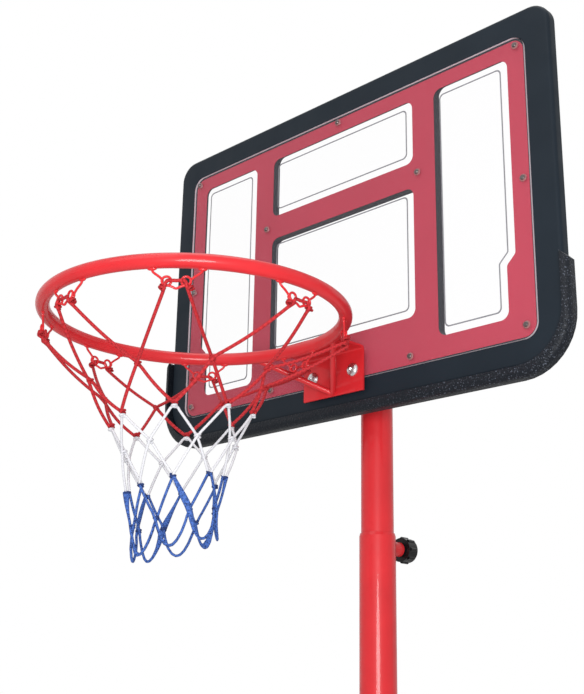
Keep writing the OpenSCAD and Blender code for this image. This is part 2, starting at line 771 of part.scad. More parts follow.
// Clamp, along +Y behind the pole
module along_clamp(y) {
    translate([0, y, clamp_z]) rotate([-90, 0, 0]) children();
}
module clamp_bore(reach) {
    along_clamp(0) cylinder(h = reach, d = clamp_pad_d + 2 * touch_gap);
}
module clamp_boss() {
    color(RED) difference() {
        along_clamp(lower_r - boss_root) cylinder(h = clamp_boss_l + boss_root, d = clamp_boss_d);
        translate([0, 0, clamp_z - clamp_boss_d]) cylinder(h = 2 * clamp_boss_d, r = lower_r);
        along_clamp(0) cylinder(h = boss_end + over, d = stud_d + 2 * run_gap);
        clamp_bore(stud_seat + clamp_open + touch_gap);
    }
}
module clamp_pad() {
    color(BLACK) along_clamp(pad_seat) cylinder(h = clamp_pad_t, d = clamp_pad_d);
}
module clamp_stud() {
    color(ZINC) along_clamp(stud_seat) cylinder(h = stud_end - stud_seat, d = stud_d);
}
module knob() {
    lobe_d = 2 * (knob_d / 2 - knob_core) * 1.6;
    color(BLACK) difference() {
        along_clamp(knob_y) {
            cylinder(h = knob_t, r = knob_core);
            for (k = [0:knob_lobes - 1]) rotate(360 * k / knob_lobes)
                translate([knob_d / 2 - lobe_d / 2, 0, knob_t * 0.15]) cylinder(h = knob_t * 0.7, d = lobe_d);
        }
        along_clamp(knob_y - over) cylinder(h = stud_end - knob_y + over, d = stud_d);
    }
}

// Base
function tank_outline(inset) =
    let (x = tank_w / 2 - inset)
    box_outline(-x, -tank_front + inset, x, tank_back - inset, tank_r - inset);
function nose_outline(inset) =
    let (x = nose_w / 2 - inset, y = -tank_front - nose_l + inset)
    rounded([[-x, y, nose_r - inset], [x, y, nose_r - inset], [x, 0, small_r], [-x, 0, small_r]]);
function at_height(outline, z) = [for (p = outline) [p.x, p.y, z]];
// The space inside both tiers up to a given height, round the pole's socket
module tank_hollow(top) {
    lower_top = min(top, tier_h - tank_wall);
    difference() {
        translate([0, 0, tank_wall]) union() {
            linear_extrude(lower_top - tank_wall) polygon(tank_outline(tank_wall));
            linear_extrude(top - tank_wall) polygon(tank_outline(tier_inset + tank_wall));
        }
        cylinder(h = tank_h, r = socket_r + tank_wall);
    }
}
// One tier of the tank with its upper edge rounded
module tier(inset, height) {
    stack(concat([at_height(tank_outline(inset), 0)], [for (turn = edge_turns)
        at_height(tank_outline(inset + inset_at(tank_edge_r, turn)), height - drop_at(tank_edge_r, turn))]));
}
module nose() {
    stack(concat([at_height(nose_outline(0), 0)], [for (turn = edge_turns)
        at_height(nose_outline(inset_at(tank_edge_r, turn)), tier_h - drop_at(tank_edge_r, turn))]));
}
module at_filler(z) {
    translate([filler_x, filler_y, z]) children();
}
module base_tank() {
    color(BLACK) difference() {
        union() {
            tier(0, tier_h);
            tier(tier_inset, tank_h);
            nose();
            at_filler(tank_h - over) cylinder(h = filler_h + over, r = filler_r);
        }
        tank_hollow(tank_h - tank_wall);
        translate([0, 0, socket_floor]) cylinder(h = tank_h, r = socket_r);
        at_filler(tank_h - tank_wall - over) cylinder(h = filler_h + tank_wall + 2 * over, d = filler_bore);
        along_axle(-nose_w / 2 - over) cylinder(h = nose_w + 2 * over, d = axle_d + 2 * run_gap);
        at_collar_screws() translate([0, 0, -tank_wall]) cylinder(h = tank_wall + over, d = collar_screw_d);
    }
}
module ballast() {
    color([0.76, 0.66, 0.48]) tank_hollow(sand_h);
}
module at_collar_screws() {
    for (k = [0:3]) rotate(45 + 90 * k) translate([collar_screw_r, 0, tank_h]) children();
}
module base_collar() {
    color(BLACK) difference() {
        translate([0, 0, tank_h]) union() {
            cylinder(h = flange_t, d = collar_d);
            cylinder(h = collar_h, r = socket_r + collar_wall);
        }
        cylinder(h = tank_h + collar_h + over, r = socket_r);
        at_collar_screws() cylinder(h = flange_t + over, d = collar_screw_d + 2 * fit_gap);
    }
}
module collar_screws() {
    color(ZINC) at_collar_screws() {
        translate([0, 0, -tank_wall]) cylinder(h = flange_t + tank_wall, d = collar_screw_d);
        translate([0, 0, flange_t]) screw_top(collar_screw_d);
    }
}
// Wheels on one axle through the nose
module along_axle(x) {
    translate([x, axle_y, axle_z]) rotate([0, 90, 0]) children();
}
module axle() {
    reach = cap_seat + axle_cap_depth;
    color(ZINC) along_axle(-reach) cylinder(h = 2 * reach, d = axle_d);
}
module axle_caps() {
    color(ZINC) for (side = [0, 1]) mirror([side, 0, 0]) along_axle(cap_seat) difference() {
        rotate_extrude() polygon([[0, 0], [axle_d, 0], [axle_d, axle_cap_t / 2],
            [axle_d * 0.7, axle_cap_t], [0, axle_cap_t]]);
        translate([0, 0, -over]) cylinder(h = axle_cap_depth + over, d = axle_d);
    }
}
module wheel() {
    r = wheel_d / 2;
    hub_r = axle_d;
    bore_r = axle_d / 2 + run_gap;
    rim_in = r - tread_t;
    web = [wheel_w / 3, wheel_w * 2 / 3];
    lip = tread_edge / 2;
    along_axle(wheel_x) difference() {
        rotate_extrude() polygon([[bore_r, 0], [hub_r, 0], [hub_r, web[0]], [rim_in, web[0]], [rim_in, lip],
            [r - tread_edge, 0], [r, tread_edge], [r, wheel_w - tread_edge], [r - tread_edge, wheel_w],
            [rim_in, wheel_w - lip], [rim_in, web[1]], [hub_r, web[1]], [hub_r, wheel_w], [bore_r, wheel_w]]);
        for (k = [0:wheel_holes - 1]) rotate(360 / wheel_holes * k) translate([(hub_r + rim_in) / 2, 0, 0])
            cylinder(h = wheel_w, d = (rim_in - hub_r) / 2);
    }
}
module right_wheel() {
    color(BLACK) wheel();
}
module left_wheel() {
    color(BLACK) mirror([1, 0, 0]) wheel();
}
module cap_seal() {
    color([0.2, 0.2, 0.2]) at_filler(filler_top) linear_extrude(seal_t) difference() {
        circle(r = filler_r);
        circle(d = filler_bore);
    }
}
module filler_cap() {
    inner = filler_r + touch_gap;
    outer = inner + cap_wall;
    height = cap_top - tank_h - cap_gap;
    color(BLACK) at_filler(0) {
        difference() {
            translate([0, 0, tank_h + cap_gap]) union() {
                cylinder(h = height, r = outer);
                for (k = [0:cap_ribs - 1]) rotate(360 / cap_ribs * k) translate([outer, 0, 0])
                    cylinder(h = height - cap_rib_d / 2, d = cap_rib_d);
            }
            cylinder(h = filler_top + seal_t, r = inner);
        }
    }
}

backboard_frame();
edge_pad();
clear_sheet();
red_print();
line_print();
sheet_screws();
screw_washers();
rear_bracket();
bracket_screws();
rim_ring();
rim_bracket();
rim_braces();
rim_bolts();
rim_washers();
rim_nuts();
net_hooks();
net_red();
net_white();
net_blue();
upper_pole();
pole_cap();
guide_bush();
pole_bolts();
pole_nuts();
middle_pole();
bottom_pole();
joint_screw();
clamp_boss();
clamp_pad();
clamp_stud();
knob();
base_tank();
ballast();
base_collar();
collar_screws();
axle();
axle_caps();
left_wheel();
right_wheel();
cap_seal();
filler_cap();
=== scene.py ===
"""Portable basketball hoop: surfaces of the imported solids, wire hooks, a braided net, light and camera.

Everything is in metres, in the frame of the solids: +Z is up and the board faces -Y.
"""

import json
import math

import bpy
from mathutils import Matrix, Vector


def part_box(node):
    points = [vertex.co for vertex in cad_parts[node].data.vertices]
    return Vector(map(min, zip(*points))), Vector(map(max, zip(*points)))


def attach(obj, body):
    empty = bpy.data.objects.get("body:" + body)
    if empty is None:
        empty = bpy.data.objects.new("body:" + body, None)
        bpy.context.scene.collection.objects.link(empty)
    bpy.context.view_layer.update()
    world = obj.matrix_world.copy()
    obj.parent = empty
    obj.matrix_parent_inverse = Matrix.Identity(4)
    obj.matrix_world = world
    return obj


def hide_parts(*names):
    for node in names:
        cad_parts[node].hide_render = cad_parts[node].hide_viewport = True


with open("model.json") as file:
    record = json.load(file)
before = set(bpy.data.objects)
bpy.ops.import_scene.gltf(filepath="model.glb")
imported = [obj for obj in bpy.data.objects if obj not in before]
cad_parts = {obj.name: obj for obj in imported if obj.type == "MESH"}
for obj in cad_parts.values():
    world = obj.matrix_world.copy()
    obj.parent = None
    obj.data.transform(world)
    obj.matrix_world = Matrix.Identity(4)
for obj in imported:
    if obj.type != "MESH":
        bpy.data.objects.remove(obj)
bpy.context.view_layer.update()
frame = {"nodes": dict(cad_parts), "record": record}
nodes = frame["nodes"]

UP = Vector((0, 0, 1))

# Camera of the photograph
CAMERA_PLACE = Vector((0.9909, -1.1744, 1.1596))
HEADING = math.radians(44.704)
RISE = math.radians(17.382)
ROLL = math.radians(1.036)
LENS_MM = 57.71

# Ring, measured on its solid
ring_low, ring_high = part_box("rim_ring")
TUBE_R = (ring_high.z - ring_low.z) / 2
RING_R = (ring_high.x - ring_low.x) / 2 - TUBE_R
RING_CENTRE = (ring_low + ring_high) / 2

# Hooks: each wire is welded on at both ends, has two eyes and dips between them
HOOKS = 8
HOOK_STEP = 2 * math.pi / HOOKS
# Hooks are welded on by hand: how far each sits from its even place, from the rear hook on
HOOK_SHIFTS = [math.radians(turn) for turn in (0, 0, 1.8, 1.9, 2.2, 0, -1.5, 0)]
WIRE_R = 0.0014
HOOK_HALF = 0.0275
EYE_R = 0.0050
EYE_ALONG = 0.0105
EYE_DROP = 0.0150
EYE_START = math.radians(20)
EYE_END = math.radians(-450)
EYE_STEPS = 18
# How far the wire moves out to each side in its eye, in wire radii, to pass itself
EYE_PASS = 1.1
DIP_DROP = 0.0235
# Bends of a wire before and after its eye: along the hook, below the tube, and away from the ring's axis
HOOK_FOOT = ((HOOK_HALF, -WIRE_R, -WIRE_R), (HOOK_HALF - 0.001, 0.0035, -WIRE_R),
             (EYE_ALONG + 0.009, EYE_DROP - 0.006, -WIRE_R))
HOOK_DIP = (EYE_ALONG - 0.006, DIP_DROP - 0.0018, WIRE_R * 0.6)
# Weld drops: half length, half width and half height
BEAD_SIZE = Vector((0.0055, 0.0024, 0.0022))
BEAD_BANDS = 7

# Net: share of its length at each row of knots, as in the solids
NET_ROWS = (0.30, 0.45, 0.57, 0.71, 0.85)
NET_LENGTH = 0.296
NET_END_R = 0.047
NET_FLARE = 2.2
# The net waves in and out a little, some times round and turning on its way down
NET_UNREST = 0.0022
UNREST_WAVES = 3
UNREST_TURN = 11
# The net hangs askew, as photographed: its axis lies to one side, and that side hangs lower than the other
NET_LEAN = Vector((-0.0086, -0.0085, 0))
HIGH_SIDE = math.radians(45)
NET_RAISE = 0.0025
NET_TILT = 0.010
LOOP_TILT = 0.004

# Cords of the net
RED_CORD_R = 0.0020
WHITE_CORD_R = 0.0016
BLUE_CORD_R = 0.0016
# The blue braid is loose: mostly round, and spread flat in some places along its way
FLAT_EXTRA = 0.0024
FLAT_PITCH = 0.11
FLAT_SHARPNESS = 4
FLAT_SHIFT = 0.8
# Points along a run of cord: their distance and their least number
CORD_STEP = 0.008
LEAST_STEPS = 3
# Length of a cord's bend at a corner, and the largest share of a run that it takes
CORD_EASE = 0.005
LOOP_EASE = 0.006
MOST_EASE = 0.35
# How far a run bows away from the ring's axis, and how far the red cords sag, three kinds in turn
CORD_BOW = 0.0010
RED_BOW = 0.0015
RED_SAGS = (0.0015, 0.0025, 0.0035)
# Two cords that cross at a knot pass this far outside and inside it
CROSSING = 0.0020
LOOP_END = 0.97
LOOP_STEPS = 8
# A power below 1 makes the loops blunter than a half wave
LOOP_POWER = 0.7
# Route of a red cord through an eye: along the hook, below the ring's tube, and away from the ring's axis
EYE_ROUTE = ((EYE_ALONG - 0.004, EYE_DROP - 0.0015, 0), (EYE_ALONG, EYE_DROP - 0.0005, 0.003),
             (EYE_ALONG + 0.002, EYE_DROP + 0.009, 0.001))

# Knots are wound with thinner cord: rise above the knot, radius, length and turns of each winding
KNOT_CORD_R = 0.0015
EYE_WRAP = (0, 0.0030, 0.005, 1.6)
RED_HIGH_WRAP = (0, 0.0030, 0.005, 1.4)
RED_LOW_WRAP = (0.002, 0.0030, 0.004, 1.3)
WHITE_HIGH_WRAP = (-0.003, 0.0024, 0.003, 1.2)
WHITE_LOW_WRAP = (0, 0.0028, 0.005, 1.5)
BLUE_HIGH_WRAP = (-0.001, 0.0026, 0.004, 1.6)
BLUE_LOW_WRAP = (0, 0.0024, 0.003, 1.2)
WRAP_STEPS = 12
# Where the winding under an eye lies, and where it points: along the hook and below the ring's tube
EYE_WRAP_LINE = ((EYE_ALONG + 0.0045, EYE_DROP + 0.0075), (EYE_ALONG + 0.009, EYE_DROP + 0.016))
# Knots lie this far up in the UVs, where the cords' materials are darker
KNOT_SHIFT = 2.0

TUBE_SIDES = 10


# Mesh building

def round_angles():
    """The angles of the corners of a tube's section."""
    return [2 * math.pi * j / TUBE_SIDES for j in range(TUBE_SIDES)]


class Pile:
    """Vertices, faces and UVs of one piece, collected from tubes and beads."""

    def __init__(self):
        self.points = []
        self.faces = []
        self.uvs = []

    def add_rings(self, rings, lengths, shift=0.0):
        """Joins rings of points into a capped tube; lengths and shift give its place in the UVs."""
        sides = len(rings[0])
        first = len(self.points)
        for ring in rings:
            self.points.extend(ring)
        for i in range(len(rings) - 1):
            for j in range(sides):
                k = (j + 1) % sides
                low, high = first + i * sides, first + (i + 1) * sides
                self.faces.append((low + j, low + k, high + k, high + j))
                near, far = lengths[i], lengths[i + 1]
                left, right = shift + j / sides, shift + (j + 1) / sides
                self.uvs.extend(((near, left), (near, right), (far, right), (far, left)))
        last = first + (len(rings) - 1) * sides
        self.faces.append(tuple(range(first + sides - 1, first - 1, -1)))
        self.faces.append(tuple(range(last, last + sides)))
        self.uvs.extend([(lengths[0], shift)] * sides + [(lengths[-1], shift)] * sides)

    def tube(self, path, radius, widen=None, shift=0.0):
        """Sweeps a round along a path; widen gives how much wider it is across, by the way along it."""
        count = len(path)
        up = None
        lengths = [0.0]
        rings = []
        for i, place in enumerate(path):
            way = (path[min(i + 1, count - 1)] - path[max(i - 1, 0)]).normalized()
            if i:
                lengths.append(lengths[-1] + (place - path[i - 1]).length)
            if up is None:
                up = way.orthogonal()
            up = (up - way * up.dot(way)).normalized()
            side = way.cross(up)
            width = radius + (widen(lengths[-1]) if widen else 0.0)
            rings.append([
                place + side * (width * math.cos(angle)) + up * (radius * math.sin(angle))
                for angle in round_angles()])
        self.add_rings(rings, lengths, shift)

    def bead(self, place, along, size):
        """A flattened drop of weld, long in the direction along."""
        side = UP.cross(along).normalized()
        rings = []
        for i in range(1, BEAD_BANDS):
            tilt = math.pi * i / BEAD_BANDS
            middle = place - along * (size.x * math.cos(tilt))
            wide, tall = size.y * math.sin(tilt), size.z * math.sin(tilt)
            rings.append([
                middle + side * (wide * math.cos(angle)) + UP * (tall * math.sin(angle))
                for angle in round_angles()])
        self.add_rings(rings, [i / BEAD_BANDS for i in range(1, BEAD_BANDS)])

    def make(self, name, slot, replaced):
        """Turns the pile into a piece that rides with the board and stands for a solid."""
        mesh = bpy.data.meshes.new(name)
        mesh.from_pydata(self.points, [], self.faces)
        layer = mesh.uv_layers.new(name="along")
        for loop, uv in zip(layer.data, self.uvs):
            loop.uv = uv
        mesh.shade_smooth()
        mesh.materials.append(MATERIALS[slot])
        piece = bpy.data.objects.new(name, mesh)
        bpy.context.scene.collection.objects.link(piece)
        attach(piece, "head")
        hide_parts(replaced)


def smooth(points, per_span):
    """Points of a curve that runs evenly through all the given ones."""
    padded = [2 * points[0] - points[1]] + points + [2 * points[-1] - points[-2]]
    curve = []
    for i in range(1, len(padded) - 2):
        before, start, end, after = padded[i - 1:i + 3]
        for j in range(per_span):
            t = j / per_span
            curve.append(0.5 * (
                2 * start + (end - before) * t + (2 * before - 5 * start + 4 * end - after) * t ** 2
                + (3 * start - before - 3 * end + after) * t ** 3))
    return curve + [points[-1]]


def taut(corners, ease, bow, sag=0.0):
    """A cord pulled tight through its corners: nearly straight runs with a short bend at each corner."""
    path = [corners[0]]
    for start, end in zip(corners, corners[1:]):
        run = (end - start).length
        reach = min(ease / run, MOST_EASE)
        steps = max(LEAST_STEPS, round(run / CORD_STEP))
        away = (start + end) / 2 - RING_CENTRE
        away.z = 0
        away.normalize()
        for j in range(steps + 1):
            t = reach + (1 - 2 * reach) * j / steps
            path.append(start.lerp(end, t) + (away * bow - UP * sag) * math.sin(math.pi * t))
    path.append(corners[-1])
    return smooth(path, per_span=2)


# Hooks and net

def round_ring(angle, radius, drop):
    """A point round the ring's axis: angle from the rear, radius, and drop below the ring's middle."""
    return RING_CENTRE + Vector((radius * math.sin(angle), radius * math.cos(angle), -drop))


def on_hook(angle, along, drop, out=0.0):
    """A point of the hook at that angle: along the ring, below its tube, and away from its axis."""
    return round_ring(angle + along / RING_R, RING_R + out, TUBE_R + drop)


def mirrored(bends):
    """The bends of a hook's other half, in the order in which a wire or cord goes on through them."""
    return [(-along, drop, out) for along, drop, out in reversed(bends)]


def hook_wire(angle):
    """The route of one hook's wire from weld to weld, with rather more than a full turn in each eye."""
    half = list(HOOK_FOOT)
    for i in range(EYE_STEPS + 1):
        share = i / EYE_STEPS
        turn = EYE_START + (EYE_END - EYE_START) * share
        out = WIRE_R * EYE_PASS * (2 * share - 1)
        half.append((EYE_ALONG + EYE_R * math.cos(turn), EYE_DROP - EYE_R * math.sin(turn), out))
    half.append(HOOK_DIP)
    bends = half + [(0.0, DIP_DROP, 0.0)] + mirrored(half)
    return smooth([on_hook(angle, *bend) for bend in bends], per_span=3)


def net_point(angle, share, lift=0.0):
    """A point of the hanging net, with its lean and a small even unrest."""
    radius = NET_END_R + (RING_R - NET_END_R) * (1 - share) ** NET_FLARE + lift
    unrest = NET_UNREST * math.sin(UNREST_WAVES * angle + UNREST_TURN * share)
    hang = min(1.0, share / NET_ROWS[0])
    tilt = NET_TILT + LOOP_TILT * max(0.0, share - NET_ROWS[3]) / (1 - NET_ROWS[3])
    rise = hang * (NET_RAISE + tilt * math.cos(angle - HIGH_SIDE))
    return round_ring(angle, radius + unrest, NET_LENGTH * share - rise) + NET_LEAN * hang


def knot(angle, row, lift=0):
    """A knot of one row; of two cords that cross there, one passes outside and one inside."""
    return net_point(angle, NET_ROWS[row], lift * CROSSING)


def add_wrap(pile, place, wrap, axis=UP):
    """A few turns of cord wound tightly round a knot."""
    rise, radius, length, turns = wrap
    axis = axis.normalized()
    side = axis.orthogonal().normalized()
    front = axis.cross(side)
    count = round(turns * WRAP_STEPS)
    path = []
    for i in range(count + 1):
        share = i / count
        angle = 2 * math.pi * turns * share
        away = side * math.cos(angle) + front * math.sin(angle)
        path.append(place + axis * (rise + length * (share - 0.5)) + away * radius)
    pile.tube(path, KNOT_CORD_R, shift=KNOT_SHIFT)


def red_cords():
    """Eight cords, each through both eyes of one hook and down to the second row of knots on either side."""
    pile = Pile()
    for k in range(HOOKS):
        a = k * HOOK_STEP
        hook = a + HOOK_SHIFTS[k]
        corners = [knot(a - HOOK_STEP, 1, -1), knot(a - HOOK_STEP / 2, 0, -1)]
        corners += [on_hook(hook, *bend) for bend in mirrored(EYE_ROUTE)]
        corners += [on_hook(hook, *bend) for bend in EYE_ROUTE]
        corners += [knot(a + HOOK_STEP / 2, 0, 1), knot(a + HOOK_STEP, 1, 1)]
        pile.tube(taut(corners, CORD_EASE, RED_BOW, RED_SAGS[k % len(RED_SAGS)]), RED_CORD_R)
        for side in (-1, 1):
            place, aim = [on_hook(hook, side * along, drop) for along, drop in EYE_WRAP_LINE]
            add_wrap(pile, place, EYE_WRAP, aim - place)
        add_wrap(pile, knot(a + HOOK_STEP / 2, 0), RED_HIGH_WRAP)
        add_wrap(pile, knot(a, 1), RED_LOW_WRAP)
    return pile


def white_cords():
    """Eight cords, each over one red knot and down to the fourth row on either side."""
    pile = Pile()
    for k in range(HOOKS):
        a = k * HOOK_STEP
        corners = [knot(a - HOOK_STEP, 3, -1), knot(a - HOOK_STEP / 2, 2, -1), knot(a, 1)]
        corners += [knot(a + HOOK_STEP / 2, 2, 1), knot(a + HOOK_STEP, 3, 1)]
        pile.tube(taut(corners, CORD_EASE, CORD_BOW), WHITE_CORD_R)
        add_wrap(pile, knot(a, 1), WHITE_HIGH_WRAP)
        add_wrap(pile, knot(a + HOOK_STEP / 2, 2), WHITE_LOW_WRAP)
    return pile


def flat_place(way, k):
    """How much wider than thick the loose braid of one loop is, at a way along it."""
    return FLAT_EXTRA * math.sin(math.pi * way / FLAT_PITCH + FLAT_SHIFT * k) ** FLAT_SHARPNESS


def blue_cords():
    """Eight loose cords, each from two white knots into one of the loops at the net's lower end."""
    pile = Pile()
    low = NET_ROWS[4]
    for k in range(HOOKS):
        a = k * HOOK_STEP
        corners = [knot(a, 3, -1), knot(a + HOOK_STEP / 2, 4, -1)]
        for i in range(1, LOOP_STEPS):
            t = i / LOOP_STEPS
            share = low + (LOOP_END - low) * math.sin(math.pi * t) ** LOOP_POWER
            corners.append(net_point(a + HOOK_STEP * (0.5 + t), share))
        corners += [knot(a + 1.5 * HOOK_STEP, 4, 1), knot(a + 2 * HOOK_STEP, 3, 1)]
        pile.tube(taut(corners, LOOP_EASE, CORD_BOW), BLUE_CORD_R, lambda way, k=k: flat_place(way, k))
        add_wrap(pile, knot(a, 3), BLUE_HIGH_WRAP)
        add_wrap(pile, knot(a + HOOK_STEP / 2, 4), BLUE_LOW_WRAP)
    return pile


def hook_wires():
    """All the hooks with the weld drops that hold them to the ring."""
    pile = Pile()
    for k in range(HOOKS):
        angle = k * HOOK_STEP + HOOK_SHIFTS[k]
        pile.tube(hook_wire(angle), WIRE_R)
        for side in (-1, 1):
            spot = angle + side * HOOK_HALF / RING_R
            along = Vector((math.cos(spot), -math.sin(spot), 0))
            pile.bead(round_ring(spot, RING_R - WIRE_R, TUBE_R), along, BEAD_SIZE)
    return pile


# Shader nodes

# Places of a colour mix among the sockets of a Mix node
MIX_FACTOR = 0
MIX_ONE = 6
MIX_OTHER = 7
MIX_RESULT = 2


def add_node(tree, kind, inputs=None, **settings):
    """A shader node with its settings and inputs; an input is a plain value or another node's socket."""
    made = tree.nodes.new("ShaderNode" + kind)
    for key, value in settings.items():
        setattr(made, key, value)
    for key, value in (inputs or {}).items():
        if isinstance(value, bpy.types.NodeSocket):
            tree.links.new(value, made.inputs[key])
        else:
            made.inputs[key].default_value = value
    return made


def blank_material(name):
    """A material and its node tree, which is empty."""
    material = bpy.data.materials.new(name)
    material.use_nodes = True
    material.node_tree.nodes.clear()
    return material, material.node_tree


def show_principled(tree, inputs):
    """Puts one Principled shader with these inputs on the surface."""
    shader = add_node(tree, "BsdfPrincipled", inputs)
    add_node(tree, "OutputMaterial", {"Surface": shader.outputs["BSDF"]})


def place_socket(tree):
    """Where on the object a point lies, in metres."""
    return add_node(tree, "TexCoord").outputs["Object"]


def part_of(tree, vector, axis):
    """One of a vector's three numbers."""
    return add_node(tree, "SeparateXYZ", {"Vector": vector}).outputs[axis]


def compute(tree, operation, one, other=0.0):
    """The result of a sum or the like; one and other are numbers or sockets."""
    return add_node(tree, "Math", {0: one, 1: other}, operation=operation).outputs[0]


def noise(tree, scale, detail=3.0):
    """Soft noise from 0 to 1 over the object."""
    made = add_node(tree, "TexNoise", {
        "Vector": place_socket(tree), "Scale": scale, "Detail": detail, "Roughness": 0.55})
    return made.outputs["Fac"]


def cells(tree, scale):
    """Small irregular cells over the object."""
    return add_node(tree, "TexVoronoi", {"Vector": place_socket(tree), "Scale": scale})


def spread(tree, factor, low, high, start=0.3, end=0.7):
    """Maps the part of a factor's range from start to end to low and high."""
    made = add_node(tree, "MapRange", {
        "Value": factor, "From Min": start, "From Max": end, "To Min": low, "To Max": high})
    return made.outputs["Result"]


def blend_colour(tree, factor, one, other):
    """A colour between two, which are plain colours or sockets."""
    made = add_node(tree, "Mix", {MIX_FACTOR: factor, MIX_ONE: one, MIX_OTHER: other}, data_type="RGBA")
    return made.outputs[MIX_RESULT]


def bump(tree, height, strength, distance):
    """A normal raised by a height factor, over a distance in metres."""
    made = add_node(tree, "Bump", {"Height": height, "Strength": strength, "Distance": distance})
    return made.outputs["Normal"]


def colour(red, green, blue):
    """A colour that a shader takes, from its linear parts."""
    return (red, green, blue, 1.0)


def shade(base, factor):
    """A darker or lighter shade of a colour."""
    return colour(*(part * factor for part in base[:3]))


def mottled(tree, base, scale, darker, lighter):
    """A colour that varies in soft patches between two shades of one base."""
    patches = spread(tree, noise(tree, scale), low=0.0, high=1.0)
    return blend_colour(tree, patches, shade(base, darker), shade(base, lighter))


# Materials

# Painted highlight: the pad's pale flecks are few left of the board's middle, and all there from this far to
# its right, where the key light falls
PAINTED_GLINTS_FULL_X = 0.22
# Strands of a braided cord, along each metre of it and round it
STRANDS_PER_METRE = 330.0
STRANDS_ROUND = 3.0


def surface(name, base, rough, spec=0.5, grain=900.0, depth=0.00004, patch=14.0, change=0.10):
    """A moulded or painted surface: uneven colour and gloss in soft patches, and a fine raised grain."""
    material, tree = blank_material(name)
    show_principled(tree, {
        "Specular IOR Level": spec,
        "Base Color": mottled(tree, base, patch, darker=1 - change, lighter=1 + change),
        "Roughness": spread(tree, noise(tree, patch * 3), low=rough * 0.85, high=rough * 1.15),
        "Normal": bump(tree, noise(tree, grain, detail=2.0), strength=0.6, distance=depth)})
    return material


def metal(name, base, rough):
    """Plated steel with fine scratches and slightly uneven brightness."""
    material, tree = blank_material(name)
    show_principled(tree, {
        "Metallic": 1.0,
        "Base Color": mottled(tree, base, scale=120.0, darker=0.82, lighter=1.1),
        "Roughness": spread(tree, noise(tree, scale=300.0), low=rough * 0.7, high=rough * 1.3),
        "Normal": bump(tree, noise(tree, scale=900.0), strength=0.3, distance=0.00006)})
    return material


def red_paint():
    """Gloss powder coat with the faint orange peel of its surface."""
    material, tree = blank_material("red_paint")
    show_principled(tree, {
        "Specular IOR Level": 0.18, "Coat Weight": 0.26, "Coat Roughness": 0.06,
        "Base Color": mottled(tree, colour(0.58, 0.020, 0.026), scale=18.0, darker=0.92, lighter=1.05),
        "Roughness": spread(tree, noise(tree, scale=60.0), low=0.34, high=0.44),
        "Normal": bump(tree, noise(tree, scale=420.0, detail=1.0), strength=0.35, distance=0.00008)})
    return material


def pebbled_rubber():
    """Matt rubber with small raised pebbles and pale flecks, most of them on the board's right as a painted
    highlight where the light falls.
    """
    material, tree = blank_material("pad_rubber")
    edges = cells(tree, scale=300.0).outputs["Distance"]
    pebbles = spread(tree, edges, low=1.0, high=0.0, start=0.0, end=0.55)
    flecks = spread(tree, noise(tree, scale=480.0, detail=2.0), low=0.0, high=1.0, start=0.60, end=0.67)
    # Painted highlight: the share of pale flecks rises towards the board's right, where the key light falls
    across = part_of(tree, place_socket(tree), "X")
    painted_glint_ramp = spread(tree, across, low=0.12, high=1.0, start=0.0, end=PAINTED_GLINTS_FULL_X)
    flecks_and_glints = compute(tree, "MULTIPLY", flecks, painted_glint_ramp)
    show_principled(tree, {
        "Specular IOR Level": 0.2,
        "Base Color": blend_colour(tree, flecks_and_glints, colour(0.0055, 0.0075, 0.0115), colour(0.085, 0.097, 0.125)),
        "Roughness": spread(tree, noise(tree, scale=40.0), low=0.40, high=0.55),
        "Normal": bump(tree, pebbles, strength=0.9, distance=0.0006)})
    return material


def clear_plastic():
    """A clear polished sheet which mirrors more at a glancing angle, with painted light from its pale pink
    gloss layer: a glow on its side faces and a pale veil at a glancing angle.
    """
    material, tree = blank_material("clear_sheet")
    # Painted light: the gloss layer's pale pink colour stands for the glow of the sheet's edges and a pale
    # veil over its faces, beside its real mirror reflection
    gloss = add_node(tree, "BsdfPrincipled", {
        "Base Color": colour(0.85, 0.74, 0.80), "Specular IOR Level": 0.5,
        "Roughness": spread(tree, noise(tree, scale=9.0), low=0.05, high=0.12),
        "Normal": bump(tree, noise(tree, scale=5.0, detail=1.0), strength=0.15, distance=0.0006)})
    through = add_node(tree, "BsdfTransparent", {"Color": colour(0.996, 0.998, 0.998)})
    glance = add_node(tree, "LayerWeight", {"Blend": 0.5}).outputs["Facing"]
    veil = spread(tree, compute(tree, "POWER", glance, 5.0), low=0.02, high=0.9, start=0.0, end=1.0)
    # Painted edge glow: the side faces show mostly the pale pink gloss layer, not the sheet behind
    face = compute(tree, "ABSOLUTE", part_of(tree, add_node(tree, "TexCoord").outputs["Normal"], "Y"))
    edge = spread(tree, face, low=0.8, high=0.0, start=0.2, end=0.8)
    share = compute(tree, "MAXIMUM", edge, veil)
    mixed = add_node(tree, "MixShader", {0: share, 1: through.outputs[0], 2: gloss.outputs[0]})
    add_node(tree, "OutputMaterial", {"Surface": mixed.outputs[0]})
    return material


